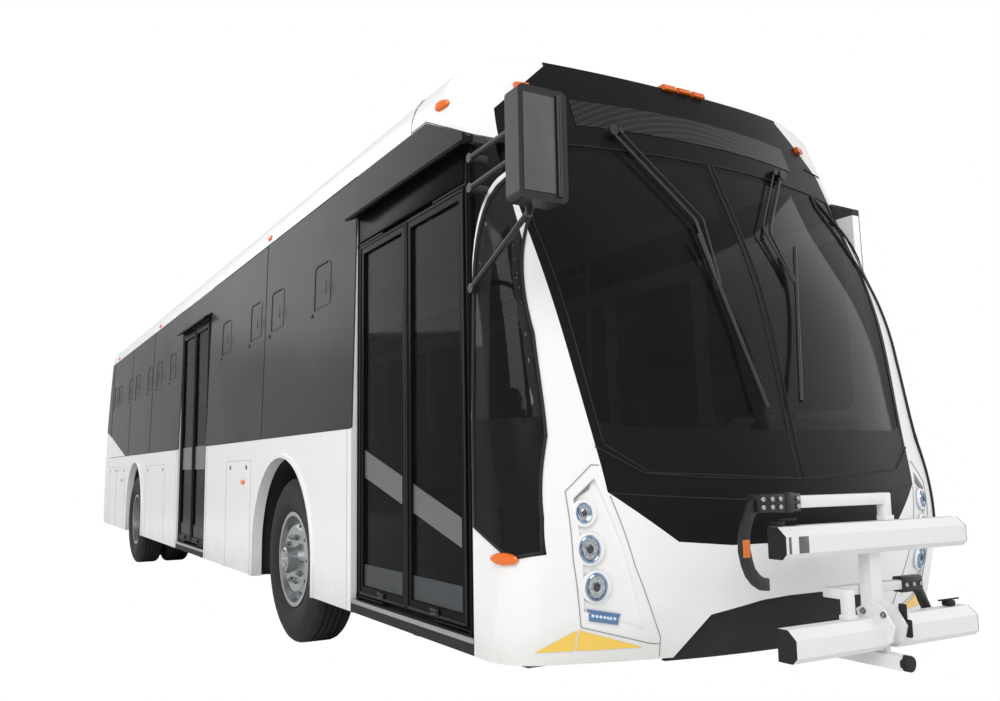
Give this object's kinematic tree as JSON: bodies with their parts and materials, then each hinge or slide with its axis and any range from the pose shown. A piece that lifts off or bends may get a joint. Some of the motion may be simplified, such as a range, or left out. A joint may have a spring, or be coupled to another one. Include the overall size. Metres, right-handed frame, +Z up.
{
  "type": "city bus",
  "caption": "Low-entry single-deck city bus with slide-glide doors, steered front wheels, twin rear wheels and a folding front bicycle rack.",
  "frame": {"origin": "centre of the overall length and width, on the ground", "axes": "+Z up, the front faces -Y, the door side is -X"},
  "size_m": [2.74, 12.5783, 3.03],
  "materials": {
    "alloy": "anodised",
    "black_coat": "satin black powder coat",
    "black_trim": "gloss black composite panel",
    "body_paint": "gloss white paint",
    "clear_glass": "lightly tinted laminated glass",
    "floor_grey": "grey vinyl floor",
    "grey_band": "dark grey tinted glass band",
    "housing_grey": "textured dark liner",
    "inner_panel": "dark moulded plastic",
    "lamp_glass": "clear lamp lens",
    "rack_paint": "light grey powder coat",
    "seat_cover": "blue woven seat cover",
    "steel_frame": "satin dark grey paint",
    "tyre_rubber": "matte black",
    "wheel_steel": "machined bright",
    "yellow_rail": "gloss yellow powder coat"
  },
  "bodies": {
    "bus_body": {"body_lamps": "lamp_glass", "bumper_intake": "black_trim", "cant_rails": "body_paint", "chassis_frame": "steel_frame", "dashboard": "inner_panel", "display_glass": "black_trim", "door_sills": "alloy", "door_visors": "black_trim", "driver_seat": "seat_cover", "engine_block": "steel_frame", "floor_deck": "floor_grey", "front_axle_beam": "steel_frame", "front_bumper": "body_paint", "front_cap": "body_paint", "front_corners": "body_paint", "front_mask": "black_trim", "handrails": "yellow_rail", "headlamps": "lamp_glass", "mirrors": "black_trim", "passenger_seats": "seat_cover", "rack_hitch": "black_coat", "rear_axle_housing": "steel_frame", "rear_cap": "body_paint", "rear_window": "clear_glass", "roof_shell": "body_paint", "side_glass": "grey_band", "side_wall_left": "body_paint", "side_wall_right": "body_paint", "suspension": "steel_frame", "wheel_housings": "housing_grey", "windscreen": "clear_glass", "wipers": "black_coat"},
    "knuckle_left": {"knuckle_left": "steel_frame"},
    "knuckle_right": {"knuckle_right": "steel_frame"},
    "track_rod": {"track_rod": "steel_frame"},
    "front_wheel_left": {"front_rim_left": "wheel_steel", "front_tyre_left": "tyre_rubber"},
    "front_wheel_right": {"front_rim_right": "wheel_steel", "front_tyre_right": "tyre_rubber"},
    "rear_wheels_left": {"rear_rims_left": "wheel_steel", "rear_tyres_left": "tyre_rubber"},
    "rear_wheels_right": {"rear_rims_right": "wheel_steel", "rear_tyres_right": "tyre_rubber"},
    "rack": {"rack_frame": "rack_paint", "rack_hooks": "rack_paint"},
    "engine_hatch": {"engine_hatch": "body_paint"},
    "steering_wheel": {"steering_wheel": "inner_panel"},
    "front_door_front_pillar": {"front_door_front_pillar": "alloy"},
    "front_door_front_leaf": {"front_door_front_leaf": "black_trim", "front_door_front_glass": "clear_glass"},
    "front_door_rear_pillar": {"front_door_rear_pillar": "alloy"},
    "front_door_rear_leaf": {"front_door_rear_leaf": "black_trim", "front_door_rear_glass": "clear_glass"},
    "rear_door_front_pillar": {"rear_door_front_pillar": "alloy"},
    "rear_door_front_leaf": {"rear_door_front_leaf": "black_trim", "rear_door_front_glass": "clear_glass"},
    "rear_door_rear_pillar": {"rear_door_rear_pillar": "alloy"},
    "rear_door_rear_leaf": {"rear_door_rear_leaf": "black_trim", "rear_door_rear_glass": "clear_glass"}
  },
  "joints": [
    {"name": "steer_left", "type": "hinge", "parent": "bus_body", "child": "knuckle_left", "pos_m": [0.86, -2.7825, 0.52], "axis": [0, 0, 1], "range_deg": [-42, 42]},
    {"name": "steer_right", "type": "hinge", "parent": "bus_body", "child": "knuckle_right", "pos_m": [-0.86, -2.7825, 0.52], "axis": [0, 0, 1], "range_deg": [-42, 42]},
    {"name": "track_rod_eye", "type": "hinge", "parent": "knuckle_left", "child": "track_rod", "pos_m": [0.86, -2.6175, 0.3], "axis": [0, 0, 1], "range_deg": [-42, 42]},
    {"name": "front_wheel_left_spin", "type": "hinge", "parent": "knuckle_left", "child": "front_wheel_left", "pos_m": [1.04, -2.7825, 0.52], "axis": [1, 0, 0], "continuous": true},
    {"name": "front_wheel_right_spin", "type": "hinge", "parent": "knuckle_right", "child": "front_wheel_right", "pos_m": [-1.04, -2.7825, 0.52], "axis": [1, 0, 0], "continuous": true},
    {"name": "rear_wheels_left_spin", "type": "hinge", "parent": "bus_body", "child": "rear_wheels_left", "pos_m": [0.928, 3.1675, 0.52], "axis": [1, 0, 0], "continuous": true},
    {"name": "rear_wheels_right_spin", "type": "hinge", "parent": "bus_body", "child": "rear_wheels_right", "pos_m": [-0.928, 3.1675, 0.52], "axis": [1, 0, 0], "continuous": true},
    {"name": "steering_wheel_turn", "type": "hinge", "parent": "bus_body", "child": "steering_wheel", "pos_m": [0.58, -5.1125, 1.32], "axis": [0, 0.5, 0.866], "range_deg": [-588, 588]},
    {"name": "front_door_front_pillar_turn", "type": "hinge", "parent": "bus_body", "child": "front_door_front_pillar", "pos_m": [-1.216, -5.2525, 0.42], "axis": [0, 0, -1], "range_deg": [0, 90]},
    {"name": "front_door_front_leaf_turn", "type": "hinge", "parent": "front_door_front_pillar", "child": "front_door_front_leaf", "pos_m": [-1.216, -4.9405, 0.45], "axis": [0, 0, -1], "range_deg": [-180, 0]},
    {"name": "front_door_rear_pillar_turn", "type": "hinge", "parent": "bus_body", "child": "front_door_rear_pillar", "pos_m": [-1.216, -4.0525, 0.42], "axis": [0, 0, 1], "range_deg": [0, 90]},
    {"name": "front_door_rear_leaf_turn", "type": "hinge", "parent": "front_door_rear_pillar", "child": "front_door_rear_leaf", "pos_m": [-1.216, -4.3645, 0.45], "axis": [0, 0, 1], "range_deg": [-180, 0]},
    {"name": "rear_door_front_pillar_turn", "type": "hinge", "parent": "bus_body", "child": "rear_door_front_pillar", "pos_m": [-1.216, -0.5995, 0.42], "axis": [0, 0, -1], "range_deg": [0, 90]},
    {"name": "rear_door_front_leaf_turn", "type": "hinge", "parent": "rear_door_front_pillar", "child": "rear_door_front_leaf", "pos_m": [-1.216, -0.3035, 0.45], "axis": [0, 0, -1], "range_deg": [-180, 0]},
    {"name": "rear_door_rear_pillar_turn", "type": "hinge", "parent": "bus_body", "child": "rear_door_rear_pillar", "pos_m": [-1.216, 0.5365, 0.42], "axis": [0, 0, 1], "range_deg": [0, 90]},
    {"name": "rear_door_rear_leaf_turn", "type": "hinge", "parent": "rear_door_rear_pillar", "child": "rear_door_rear_leaf", "pos_m": [-1.216, 0.2405, 0.45], "axis": [0, 0, 1], "range_deg": [-180, 0]},
    {"name": "rack_tilt", "type": "hinge", "parent": "bus_body", "child": "rack", "pos_m": [0, -6.1725, 0.48], "axis": [1, 0, 0], "range_deg": [0, 90]},
    {"name": "engine_hatch_lift", "type": "hinge", "parent": "bus_body", "child": "engine_hatch", "pos_m": [0, 6.2434, 1.586], "axis": [1, 0, 0], "range_deg": [0, 75]}
  ],
  "couplings": [
    {"joint": "steer_right", "follows": "steer_left", "ratio": 1},
    {"joint": "track_rod_eye", "follows": "steer_left", "ratio": -1},
    {"joint": "steering_wheel_turn", "follows": "steer_left", "ratio": 14},
    {"joint": "front_door_front_leaf_turn", "follows": "front_door_front_pillar_turn", "ratio": -2},
    {"joint": "front_door_rear_pillar_turn", "follows": "front_door_front_pillar_turn", "ratio": 1},
    {"joint": "front_door_rear_leaf_turn", "follows": "front_door_front_pillar_turn", "ratio": -2},
    {"joint": "rear_door_front_leaf_turn", "follows": "rear_door_front_pillar_turn", "ratio": -2},
    {"joint": "rear_door_rear_pillar_turn", "follows": "rear_door_front_pillar_turn", "ratio": 1},
    {"joint": "rear_door_rear_leaf_turn", "follows": "rear_door_front_pillar_turn", "ratio": -2}
  ]
}
